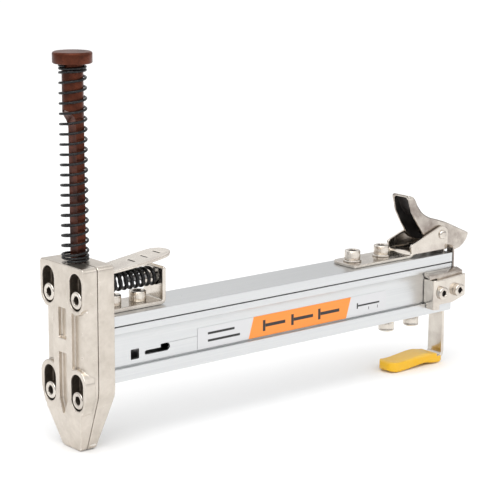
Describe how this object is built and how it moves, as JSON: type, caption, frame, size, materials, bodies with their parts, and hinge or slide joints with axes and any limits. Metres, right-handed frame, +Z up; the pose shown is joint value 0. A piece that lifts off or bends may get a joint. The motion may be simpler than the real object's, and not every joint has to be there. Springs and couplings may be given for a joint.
{
  "type": "manual flooring nailer",
  "caption": "Hand-struck nailer: sprung striker rod over a cast nose, aluminium nail magazine with sliding side cover, rear latch lever and dipped bench hook.",
  "frame": {"origin": "centre of the nose tip's bottom face, on the striker's axis, where the nail comes out", "axes": "+X from the nose along the magazine to its rear, +Z up the striker, -Y towards the side cover"},
  "size_m": [0.2677, 0.0419, 0.189],
  "materials": {
    "nickel_casting": "satin nickel over a die casting",
    "bright_nickel": "bright nickel plate",
    "anodised_rail": "fine extruded aluminium, clear anodised",
    "brown_oxide": "brown oxide on turned steel",
    "black_spring": "oiled black spring wire",
    "black_nylon": "moulded black nylon",
    "hard_steel": "ground hardened steel",
    "label_film": "printed label film, white with an orange block",
    "yellow_dip": "soft dipped plastic"
  },
  "bodies": {
    "frame": {"nose_front_cover": "nickel_casting", "nose_rear_body": "nickel_casting", "nose_screw_1": "bright_nickel", "nose_screw_2": "bright_nickel", "nose_screw_3": "bright_nickel", "nose_screw_4": "bright_nickel", "nose_dowel_1": "hard_steel", "nose_dowel_2": "hard_steel", "return_spring": "black_spring", "rail": "anodised_rail", "nail_guide": "hard_steel", "rail_end_plug": "black_nylon", "catch_bracket": "bright_nickel", "catch_bracket_screw_1": "bright_nickel", "catch_bracket_screw_2": "bright_nickel", "catch_pivot_pin": "hard_steel", "catch_spring_guide": "hard_steel", "catch_spring": "black_spring", "latch_base": "bright_nickel", "latch_base_washer_1": "bright_nickel", "latch_base_screw_1": "bright_nickel", "latch_base_washer_2": "bright_nickel", "latch_base_screw_2": "bright_nickel", "latch_rivet": "bright_nickel", "latch_torsion_spring": "black_spring", "hook_strap": "bright_nickel", "hook_washer_1": "bright_nickel", "hook_screw_1": "bright_nickel", "hook_washer_2": "bright_nickel", "hook_screw_2": "bright_nickel", "hook_grip": "yellow_dip"},
    "striker": {"striker_rod": "brown_oxide", "striker_cap": "brown_oxide", "driver_blade": "hard_steel", "blade_pin": "hard_steel"},
    "catch": {"catch_lever": "bright_nickel"},
    "plunger": {"catch_plunger": "hard_steel"},
    "latch": {"latch_lever": "bright_nickel"},
    "cover": {"side_cover": "anodised_rail", "cover_label": "label_film", "cover_end_plate": "bright_nickel", "cover_bracket": "bright_nickel", "cover_bracket_screw_1": "bright_nickel", "cover_bracket_screw_2": "bright_nickel", "cover_bracket_packing": "bright_nickel"},
    "pusher": {"pusher": "hard_steel", "pusher_spring_roll": "hard_steel", "pusher_roll_pin": "bright_nickel"}
  },
  "joints": [
    {"name": "striker_slide", "type": "slide", "parent": "frame", "child": "striker", "axis": [0, 0, -1], "range_m": [0, 0.056], "stiffness_N_per_m": 300, "springref_m": -0.02, "deforming": ["return_spring"]},
    {"name": "catch_hinge", "type": "hinge", "parent": "frame", "child": "catch", "pos_m": [0.013, 0, 0.0692], "axis": [0, 1, 0], "range_deg": [0, 6], "stiffness_Nm_per_rad": 0.15, "springref_deg": -17.19, "deforming": ["catch_spring"]},
    {"name": "catch_plunger_slide", "type": "slide", "parent": "frame", "child": "plunger", "axis": [1, 0, 0], "range_m": [0, 0.0012]},
    {"name": "latch_hinge", "type": "hinge", "parent": "frame", "child": "latch", "pos_m": [0.2355, 0, 0.0747], "axis": [0, -1, 0], "range_deg": [0, 30], "stiffness_Nm_per_rad": 0.05, "springref_deg": -22.92},
    {"name": "side_cover_slide", "type": "slide", "parent": "frame", "child": "cover", "axis": [1, 0, 0], "range_m": [0, 0.2]},
    {"name": "pusher_slide", "type": "slide", "parent": "frame", "child": "pusher", "axis": [1, 0, 0], "range_m": [0, 0.199], "stiffness_N_per_m": 20, "springref_m": -0.2}
  ],
  "couplings": [
    {"joint": "catch_plunger_slide", "follows": "catch_hinge", "m_per_rad": 0.01}
  ]
}
